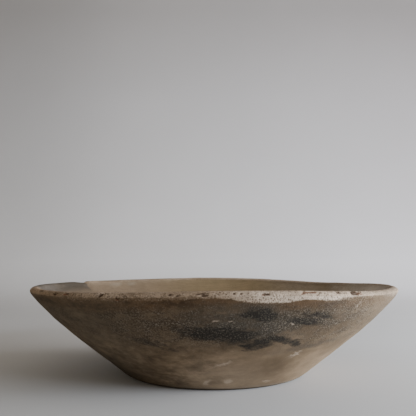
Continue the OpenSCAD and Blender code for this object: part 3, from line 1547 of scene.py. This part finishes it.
    def build(self) -> bpy.types.Object:
        """Make the bowl's mesh, carve it and store what the finish needs on it.

        Returns:
            The bowl.
        """
        skin = self.skin()
        self.carving.soften_crease(skin.points, int(np.argmax(skin.on(Zone.BAND))))
        mesh = bpy.data.meshes.new("carved_bowl")
        mesh.from_pydata((skin.points * MM).tolist(), [], skin.faces)
        normals = np.empty(len(skin.points) * 3)
        mesh.vertex_normals.foreach_get("vector", normals)
        move, hurt = self.relief(skin)
        points = skin.points + normals.reshape(-1, 3) * move[:, None]
        points[:, 2] = np.maximum(points[:, 2], 0.0)
        mesh.vertices.foreach_set("co", (points * MM).ravel())
        for layer, values in self.layers(skin, points, hurt).items():
            attribute = mesh.attributes.new(layer.value, "FLOAT", "POINT")
            attribute.data.foreach_set("value", values.astype(np.float32))
        mesh.polygons.foreach_set("use_smooth", np.ones(len(mesh.polygons), dtype=bool))
        mesh.update()
        bowl = bpy.data.objects.new("carved_bowl", mesh)
        bpy.context.scene.collection.objects.link(bowl)
        return bowl

    def dress(self, bowl: bpy.types.Object, wood: CarvedWood) -> None:
        """Give the bowl its finish and its place in the CAD frame.

        Args:
            bowl: The bowl's object.
            wood: Its finish.
        """
        bowl.data.materials.append(wood.material())
        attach(bowl, "root")
        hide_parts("bowl")


# ---------------------------------------------------------------------------------------
# The studio
# ---------------------------------------------------------------------------------------


@dataclass(frozen=True)
class SoftLight:
    """A large soft area light.

    Attributes:
        name: Its name.
        place: Where it hangs, in rim radii.
        target: The point it faces, in rim radii.
        size: Its width and height, in rim radii.
        watts: Its power.
        colour: Its colour.
    """

    name: str
    place: tuple[float, float, float]
    target: tuple[float, float, float]
    size: tuple[float, float]
    watts: float
    colour: Colour = (1.0, 1.0, 1.0)


@dataclass
class Studio:
    """The floor, backdrop, light and camera round the bowl.

    Attributes:
        unit: The rim's radius in metres, which every other length is a multiple of.
        view_place: The camera's place.
        view_pitch: How far the camera looks up, in degrees.
        lens: Its focal length in millimetres.
        sensor: The width of its sensor in millimetres.
        floor_reach: How far the floor reaches forwards and to each side.
        wall_distance: How far behind the bowl the backdrop stands.
        wall_height: How high it is.
        bend_radius: Radius of the bend between the floor and the backdrop.
        bend_steps: How many flat strips the bend is made of.
        daylight: Strength of the even light in the room.
        day_colour: Its colour.
        lights: The soft lights.
    """

    unit: float
    view_place: tuple[float, float, float] = (-0.0387, -3.281, 0.6622)
    view_pitch: float = 4.466
    lens: float = 49.185
    sensor: float = 36.0
    floor_reach: float = 16.0
    wall_distance: float = 9.0
    wall_height: float = 12.0
    bend_radius: float = 4.0
    bend_steps: int = 16
    daylight: float = 0.36
    day_colour: Colour = (1.12, 1.0, 0.83)
    lights: tuple[SoftLight, ...] = (
        SoftLight("window_front", (7.37, -5.16, 3.4), (0.0, 0.0, 0.2), (5.4, 2.0), 19.7, (0.91, 1.0, 1.14)),
        SoftLight("window_side", (5.5, 0.0, 0.83), (0.0, 0.0, 0.2), (3.3, 1.5), 21.5, (0.96, 1.0, 1.05)),
        SoftLight("wash", (7.0, 3.5, 3.5), (2.0, 9.0, 1.5), (4.0, 3.0), 7.1, (1.03, 1.0, 1.09)),
    )

    def backdrop(self) -> bpy.types.Object:
        """Make the floor and the wall behind it as one sheet with a rounded bend.

        Returns:
            The sheet.
        """
        profile = [(-self.floor_reach, 0.0)]
        for step in range(self.bend_steps + 1):
            quarter = math.pi / 2.0 * step / self.bend_steps
            back = self.wall_distance - self.bend_radius * (1.0 - math.sin(quarter))
            profile.append((back, self.bend_radius * (1.0 - math.cos(quarter))))
        profile.append((self.wall_distance, self.wall_height))
        points, faces = [], []
        for index, (y, z) in enumerate(profile):
            for x in (-self.floor_reach, self.floor_reach):
                points.append((x * self.unit, y * self.unit, z * self.unit))
            if index:
                k = 2 * index
                faces.append((k - 2, k - 1, k + 1, k))
        mesh = bpy.data.meshes.new("backdrop")
        mesh.from_pydata(points, [], faces)
        mesh.polygons.foreach_set("use_smooth", [True] * len(faces))
        sheet = bpy.data.objects.new("backdrop", mesh)
        bpy.context.scene.collection.objects.link(sheet)
        mesh.materials.append(StudioPaintAndLight(self.unit / MM).material())
        return sheet

    def light(self, soft: SoftLight) -> bpy.types.Object:
        """Hang one light.

        Args:
            soft: The light's description.

        Returns:
            The light.
        """
        lamp = bpy.data.lights.new(soft.name, "AREA")
        lamp.shape = "RECTANGLE"
        lamp.size, lamp.size_y = (length * self.unit for length in soft.size)
        lamp.energy = soft.watts
        lamp.color = soft.colour
        hung = bpy.data.objects.new(soft.name, lamp)
        place, target = Vector(soft.place), Vector(soft.target)
        hung.location = place * self.unit
        hung.rotation_euler = (target - place).to_track_quat("-Z", "Y").to_euler()
        hung.visible_camera = False
        bpy.context.scene.collection.objects.link(hung)
        return hung

    def ambient(self) -> None:
        """Fill the room with a little even daylight."""
        world = bpy.data.worlds.new("room")
        world.use_nodes = True
        sky = world.node_tree.nodes["Background"]
        sky.inputs["Color"].default_value = (*self.day_colour, 1.0)
        sky.inputs["Strength"].default_value = self.daylight
        bpy.context.scene.world = world

    def camera(self) -> bpy.types.Object:
        """Set up the camera.

        Returns:
            The camera.
        """
        eye = bpy.data.cameras.new("camera")
        eye.sensor_width = self.sensor
        eye.lens = self.lens
        placed = bpy.data.objects.new("camera", eye)
        placed.location = Vector(self.view_place) * self.unit
        placed.rotation_euler = (math.radians(90.0 + self.view_pitch), 0.0, 0.0)
        bpy.context.scene.collection.objects.link(placed)
        bpy.context.scene.camera = placed
        return placed

    def build(self) -> None:
        """Set up the whole studio."""
        self.camera()
        self.backdrop()
        self.ambient()
        for soft in self.lights:
            self.light(soft)


def main() -> None:
    """Build the bowl and the studio."""
    logging.basicConfig(level=logging.INFO, format="%(name)s: %(message)s")
    bowl = Bowl()
    piece = bowl.build()
    bowl.dress(piece, CarvedWood())
    log.info("%s: %d points, %d faces", piece.name, len(piece.data.vertices), len(piece.data.polygons))
    studio = Studio(bowl.form.rim_r * MM)
    studio.build()
    log.info("studio: %d light(s), camera at %s", len(studio.lights), studio.view_place)


if __name__ == "__main__":
    main()
